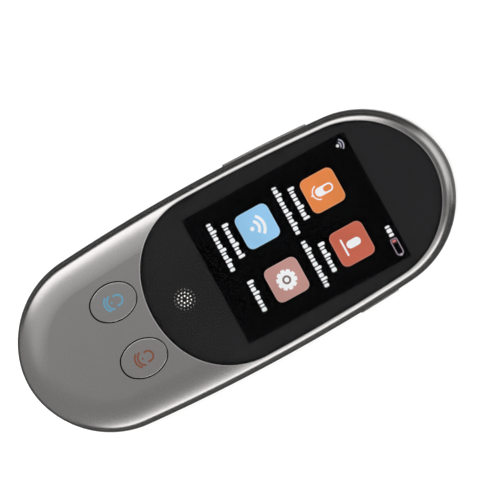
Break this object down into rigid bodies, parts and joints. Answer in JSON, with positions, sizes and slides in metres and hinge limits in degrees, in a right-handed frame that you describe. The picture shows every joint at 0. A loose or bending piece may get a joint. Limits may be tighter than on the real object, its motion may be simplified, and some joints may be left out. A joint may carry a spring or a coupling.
{
  "type": "handheld voice translator",
  "caption": "Pill-shaped handheld translator: glass-topped metal body, colour display, two oval push buttons below it, and rocker and power keys in its sides.",
  "frame": {"origin": "bottom centre of the bounding box: on the table, under the middle of the body", "axes": "+X to the device's right as its face is seen with the display up, +Y along its length to the display end, +Z out of its face"},
  "size_m": [0.0515, 0.1265, 0.012],
  "materials": {
    "housing": "satin bead-blasted, warm grey",
    "keys": "satin",
    "cover_glass": "polished, clear over a black printed border",
    "border_ink": "printed black mask",
    "sound_mesh": "woven fine mesh",
    "display": "display cell",
    "backlight": "white frame",
    "flex": "amber polyimide film",
    "connector": "moulded black",
    "board": "green solder mask",
    "shield": "tinned steel",
    "speaker": "moulded frame",
    "gasket": "closed-cell foam",
    "boot": "silicone",
    "microphone": "gold-flashed can",
    "port_shell": "stamped stainless",
    "port_tongue": "moulded black with gilt contacts",
    "battery": "laminate pouch",
    "tape": "amber tape",
    "antenna": "flex antenna on film",
    "screws": "zinc plated",
    "switch": "stamped frame",
    "plunger": "moulded actuator"
  },
  "bodies": {
    "device": {"front_housing": "housing", "rear_cover": "housing", "cover_glass": "cover_glass", "glass_border": "border_ink", "sound_mesh": "sound_mesh", "lcd_panel": "display", "lcd_backlight": "backlight", "display_flex": "flex", "flex_connector": "connector", "main_board": "board", "shield_can": "shield", "loudspeaker": "speaker", "speaker_gasket": "gasket", "bottom_microphone": "microphone", "bottom_mic_boot": "boot", "top_microphone": "microphone", "top_mic_boot": "boot", "port_shell": "port_shell", "port_tongue": "port_tongue", "battery": "battery", "battery_tape": "tape", "battery_tab": "flex", "battery_connector": "connector", "antenna": "antenna", "board_screws": "screws", "left_tact_switch": "switch", "right_tact_switch": "switch", "volume_switches": "connector", "power_switch": "connector"},
    "left_button": {"left_button_cap": "keys", "left_button_plunger": "plunger"},
    "right_button": {"right_button_cap": "keys", "right_button_plunger": "plunger"},
    "volume_rocker": {"volume_key": "keys"},
    "power_button": {"power_key": "keys", "power_plunger": "plunger"}
  },
  "joints": [
    {"name": "left_button_press", "type": "slide", "parent": "device", "child": "left_button", "axis": [0, 0, -1], "range_m": [0, 0.0003], "stiffness_N_per_m": 6000},
    {"name": "right_button_press", "type": "slide", "parent": "device", "child": "right_button", "axis": [0, 0, -1], "range_m": [0, 0.0003], "stiffness_N_per_m": 6000},
    {"name": "volume_rock", "type": "hinge", "parent": "device", "child": "volume_rocker", "pos_m": [-0.0227, 0.0228, 0.00704], "axis": [0, 0, 1], "range_deg": [-1, 1], "stiffness_Nm_per_rad": 0.77},
    {"name": "power_press", "type": "slide", "parent": "device", "child": "power_button", "axis": [-1, 0, 0], "range_m": [0, 0.0003], "stiffness_N_per_m": 6000}
  ]
}
